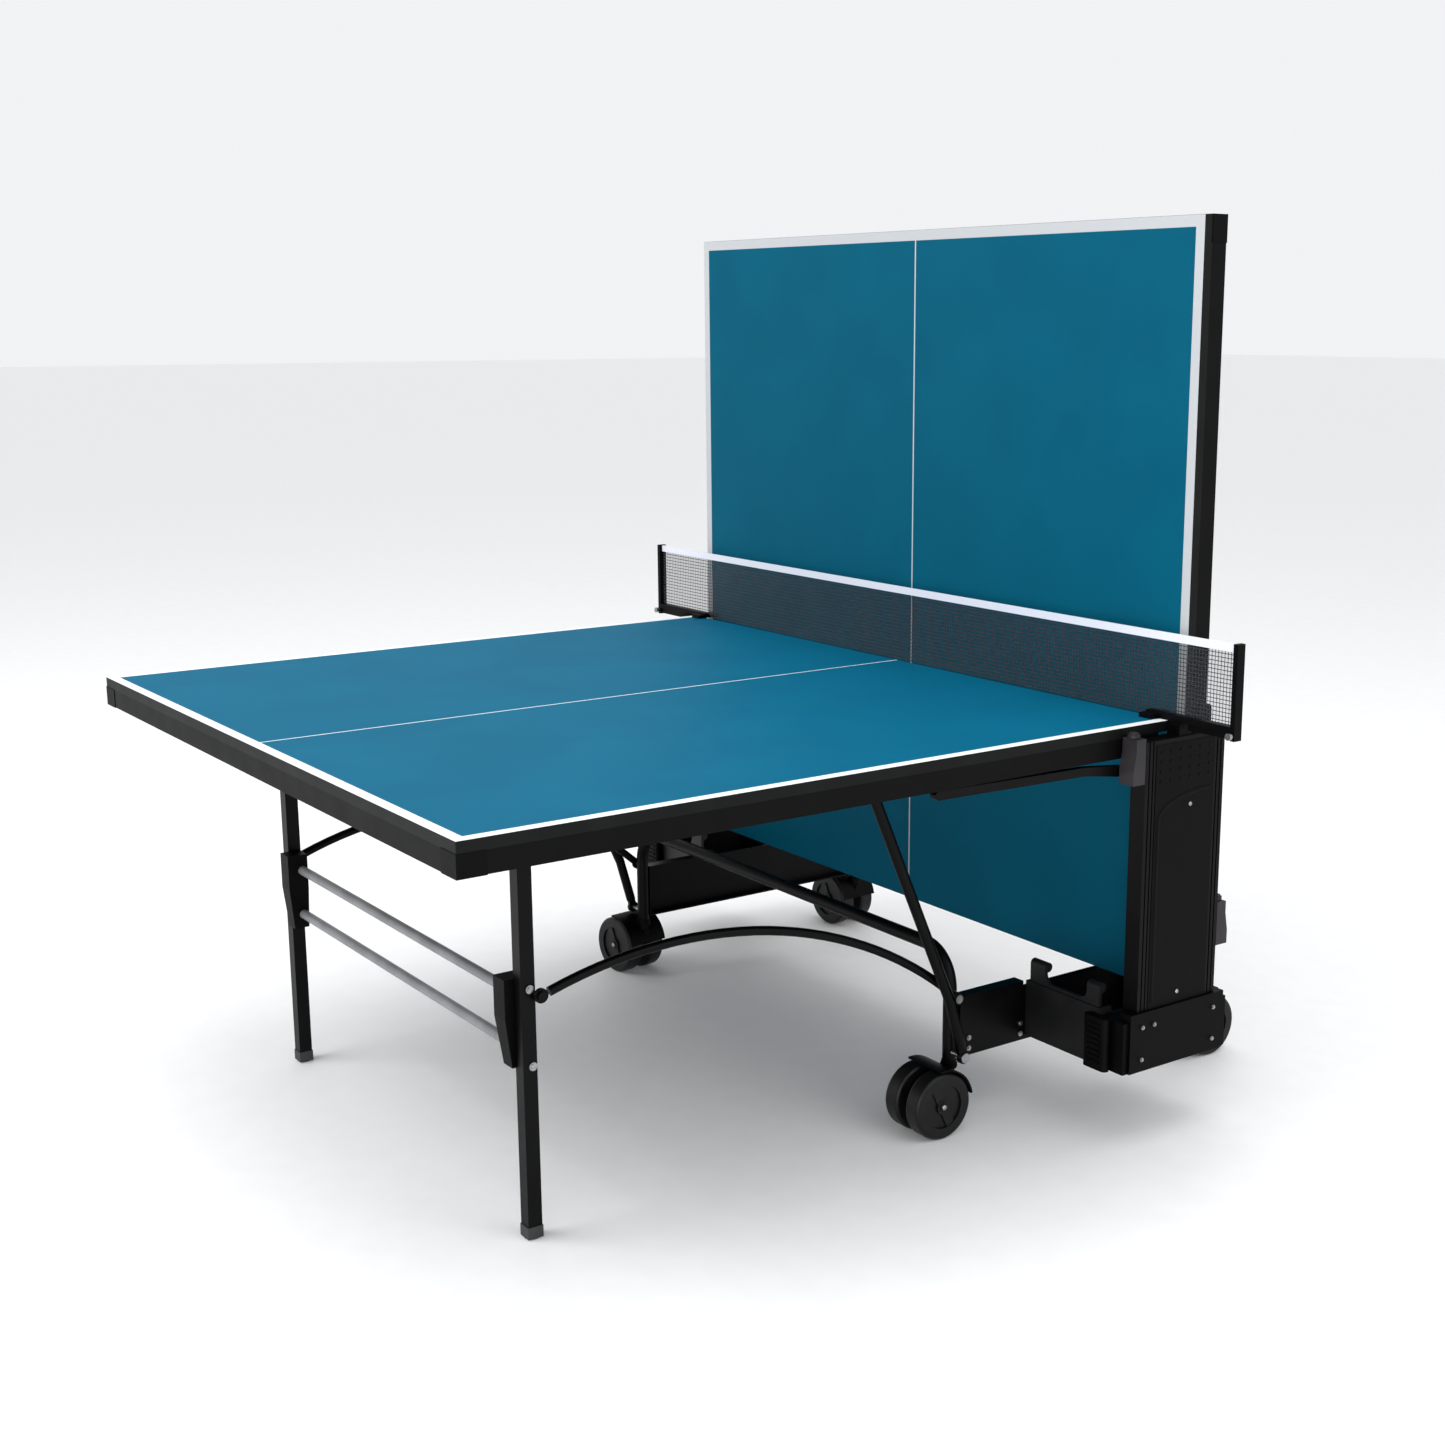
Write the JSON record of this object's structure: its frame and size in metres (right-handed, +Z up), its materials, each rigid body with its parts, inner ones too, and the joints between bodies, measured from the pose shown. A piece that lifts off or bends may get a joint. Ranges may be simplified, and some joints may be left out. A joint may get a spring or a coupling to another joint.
{
  "type": "ping pong table",
  "caption": "Folding ping pong table in the playback position: one half level, one half raised upright, on a wheeled chassis with a net.",
  "frame": {"origin": "centre of the footprint on the floor", "axes": "+X along the net, +Y from the level half to the raised half, +Z up"},
  "size_m": [1.832, 1.786, 1.6175],
  "materials": {
    "frame_black": "satin powder coat",
    "board_blue": "matt playing paint with white lines",
    "plastic_black": "moulded",
    "plastic_grey": "moulded",
    "tray_grey": "moulded",
    "bar_grey": "satin",
    "bolt_steel": "zinc plated",
    "net_fabric": "woven mesh",
    "tape_white": "woven tape",
    "tyre_rubber": "moulded"
  },
  "bodies": {
    "chassis": {"front_u_frame": "frame_black", "rear_u_frame": "frame_black", "side_beams": "frame_black", "trays": "tray_grey", "tray_cradles": "tray_grey", "masts": "frame_black", "mast_covers": "plastic_black", "side_bases": "plastic_black", "net_seats": "plastic_black", "chassis_bolts": "bolt_steel"},
    "front_carriage": {"front_carriages": "plastic_grey"},
    "front_knobs": {"front_lock_knobs": "plastic_grey"},
    "front_half": {"front_board": "board_blue", "front_apron": "frame_black", "front_corner_caps": "plastic_black", "front_stiffeners": "frame_black", "front_slider_arms": "frame_black", "front_brace_lugs": "frame_black", "front_leg_hinges": "frame_black"},
    "front_leg_set": {"front_legs": "frame_black", "front_feet": "plastic_grey", "front_bar_brackets": "plastic_black", "front_cross_bars": "bar_grey", "front_leg_bolts": "bolt_steel"},
    "front_brace_pair": {"front_braces": "frame_black"},
    "front_arch_pair": {"front_arches": "frame_black"},
    "rear_carriage": {"rear_carriages": "plastic_grey"},
    "rear_knobs": {"rear_lock_knobs": "plastic_grey"},
    "rear_half": {"rear_board": "board_blue", "rear_apron": "frame_black", "rear_corner_caps": "plastic_black", "rear_stiffeners": "frame_black", "rear_slider_arms": "frame_black", "rear_brace_lugs": "frame_black", "rear_leg_hinges": "frame_black"},
    "rear_leg_set": {"rear_legs": "frame_black", "rear_feet": "plastic_grey", "rear_bar_brackets": "plastic_black", "rear_cross_bars": "bar_grey", "rear_leg_bolts": "bolt_steel"},
    "rear_brace_pair": {"rear_braces": "frame_black"},
    "rear_arch_pair": {"rear_arches": "frame_black"},
    "net_set": {"net_cloth": "net_fabric", "net_tape": "tape_white", "net_posts": "frame_black", "net_arms": "plastic_black", "net_screws": "bolt_steel"},
    "caster_front_right": {"fork_front_right": "plastic_black"},
    "wheels_front_right_a": {"wheel_front_right_a": "tyre_rubber"},
    "wheels_front_right_b": {"wheel_front_right_b": "tyre_rubber"},
    "caster_rear_right": {"fork_rear_right": "plastic_black"},
    "wheels_rear_right_a": {"wheel_rear_right_a": "tyre_rubber"},
    "wheels_rear_right_b": {"wheel_rear_right_b": "tyre_rubber"},
    "caster_front_left": {"fork_front_left": "plastic_black"},
    "wheels_front_left_a": {"wheel_front_left_a": "tyre_rubber"},
    "wheels_front_left_b": {"wheel_front_left_b": "tyre_rubber"},
    "caster_rear_left": {"fork_rear_left": "plastic_black"},
    "wheels_rear_left_a": {"wheel_rear_left_a": "tyre_rubber"},
    "wheels_rear_left_b": {"wheel_rear_left_b": "tyre_rubber"}
  },
  "joints": [
    {"name": "front_fold", "type": "hinge", "parent": "front_carriage", "child": "front_half", "pos_m": [0, 0.3685, 0.683], "axis": [-1, 0, 0], "range_deg": [0, 90]},
    {"name": "front_carriage_slide", "type": "slide", "parent": "chassis", "child": "front_carriage", "axis": [0, 0, -1], "range_m": [0, 0.327]},
    {"name": "front_leg_fold", "type": "hinge", "parent": "front_half", "child": "front_leg_set", "pos_m": [0, -0.647, 0.715], "axis": [1, 0, 0], "range_deg": [0, 78.1]},
    {"name": "front_brace_swing", "type": "hinge", "parent": "chassis", "child": "front_brace_pair", "pos_m": [0, 0.1785, 0.145], "axis": [-1, 0, 0], "range_deg": [0, 43.7]},
    {"name": "front_arch_swing", "type": "hinge", "parent": "chassis", "child": "front_arch_pair", "pos_m": [0, 0.1805, 0.25], "axis": [-1, 0, 0], "range_deg": [0, 90.9]},
    {"name": "front_knob_press", "type": "slide", "parent": "front_carriage", "child": "front_knobs", "axis": [0, 0, 1], "range_m": [0, 0.008], "stiffness_N_per_m": 400},
    {"name": "rear_fold", "type": "hinge", "parent": "rear_carriage", "child": "rear_half", "pos_m": [0, 0.5925, 0.356], "axis": [-1, 0, 0], "range_deg": [0, 90]},
    {"name": "rear_carriage_slide", "type": "slide", "parent": "chassis", "child": "rear_carriage", "axis": [0, 0, 1], "range_m": [0, 0.327]},
    {"name": "rear_leg_fold", "type": "hinge", "parent": "rear_half", "child": "rear_leg_set", "pos_m": [0, 0.5605, 1.3715], "axis": [1, 0, 0], "range_deg": [0, 78.1]},
    {"name": "rear_brace_swing", "type": "hinge", "parent": "chassis", "child": "rear_brace_pair", "pos_m": [0, 0.7825, 0.145], "axis": [-1, 0, 0], "range_deg": [0, 43.7]},
    {"name": "rear_arch_swing", "type": "hinge", "parent": "chassis", "child": "rear_arch_pair", "pos_m": [0, 0.7805, 0.25], "axis": [-1, 0, 0], "range_deg": [0, 90.9]},
    {"name": "rear_knob_press", "type": "slide", "parent": "rear_carriage", "child": "rear_knobs", "axis": [0, 0, 1], "range_m": [0, 0.008], "stiffness_N_per_m": 400},
    {"name": "net_lift", "type": "slide", "parent": "chassis", "child": "net_set", "axis": [0, 0, 1], "range_m": [0, 0.18]},
    {"name": "swivel_front_right", "type": "hinge", "parent": "chassis", "child": "caster_front_right", "pos_m": [0.531, 0.1805, 0.11], "axis": [0, 0, 1], "continuous": true},
    {"name": "roll_front_right_a", "type": "hinge", "parent": "caster_front_right", "child": "wheels_front_right_a", "pos_m": [0.531, 0.1305, 0.0625], "axis": [1, 0, 0], "continuous": true},
    {"name": "roll_front_right_b", "type": "hinge", "parent": "caster_front_right", "child": "wheels_front_right_b", "pos_m": [0.531, 0.1305, 0.0625], "axis": [1, 0, 0], "continuous": true},
    {"name": "swivel_rear_right", "type": "hinge", "parent": "chassis", "child": "caster_rear_right", "pos_m": [0.531, 0.7805, 0.11], "axis": [0, 0, 1], "continuous": true},
    {"name": "roll_rear_right_a", "type": "hinge", "parent": "caster_rear_right", "child": "wheels_rear_right_a", "pos_m": [0.531, 0.8305, 0.0625], "axis": [-1, 0, 0], "continuous": true},
    {"name": "roll_rear_right_b", "type": "hinge", "parent": "caster_rear_right", "child": "wheels_rear_right_b", "pos_m": [0.531, 0.8305, 0.0625], "axis": [-1, 0, 0], "continuous": true},
    {"name": "swivel_front_left", "type": "hinge", "parent": "chassis", "child": "caster_front_left", "pos_m": [-0.531, 0.1805, 0.11], "axis": [0, 0, 1], "continuous": true},
    {"name": "roll_front_left_a", "type": "hinge", "parent": "caster_front_left", "child": "wheels_front_left_a", "pos_m": [-0.58073, 0.17527, 0.0625], "axis": [0.1045, -0.9945, 0], "continuous": true},
    {"name": "roll_front_left_b", "type": "hinge", "parent": "caster_front_left", "child": "wheels_front_left_b", "pos_m": [-0.58073, 0.17527, 0.0625], "axis": [0.1045, -0.9945, 0], "continuous": true},
    {"name": "swivel_rear_left", "type": "hinge", "parent": "chassis", "child": "caster_rear_left", "pos_m": [-0.531, 0.7805, 0.11], "axis": [0, 0, 1], "continuous": true},
    {"name": "roll_rear_left_a", "type": "hinge", "parent": "caster_rear_left", "child": "wheels_rear_left_a", "pos_m": [-0.58093, 0.77788, 0.0625], "axis": [0.0523, -0.9986, 0], "continuous": true},
    {"name": "roll_rear_left_b", "type": "hinge", "parent": "caster_rear_left", "child": "wheels_rear_left_b", "pos_m": [-0.58093, 0.77788, 0.0625], "axis": [0.0523, -0.9986, 0], "continuous": true}
  ],
  "couplings": [
    {"joint": "front_carriage_slide", "follows": "front_fold", "m_per_rad": 0.20817},
    {"joint": "front_leg_fold", "follows": "front_fold", "ratio": 0.86667},
    {"joint": "front_brace_swing", "follows": "front_fold", "ratio": 0.48368},
    {"joint": "front_arch_swing", "follows": "front_fold", "ratio": 1.0081},
    {"joint": "rear_carriage_slide", "follows": "rear_fold", "m_per_rad": 0.20817},
    {"joint": "rear_leg_fold", "follows": "rear_fold", "ratio": 0.86667},
    {"joint": "rear_brace_swing", "follows": "rear_fold", "ratio": 0.48368},
    {"joint": "rear_arch_swing", "follows": "rear_fold", "ratio": 1.0081}
  ]
}
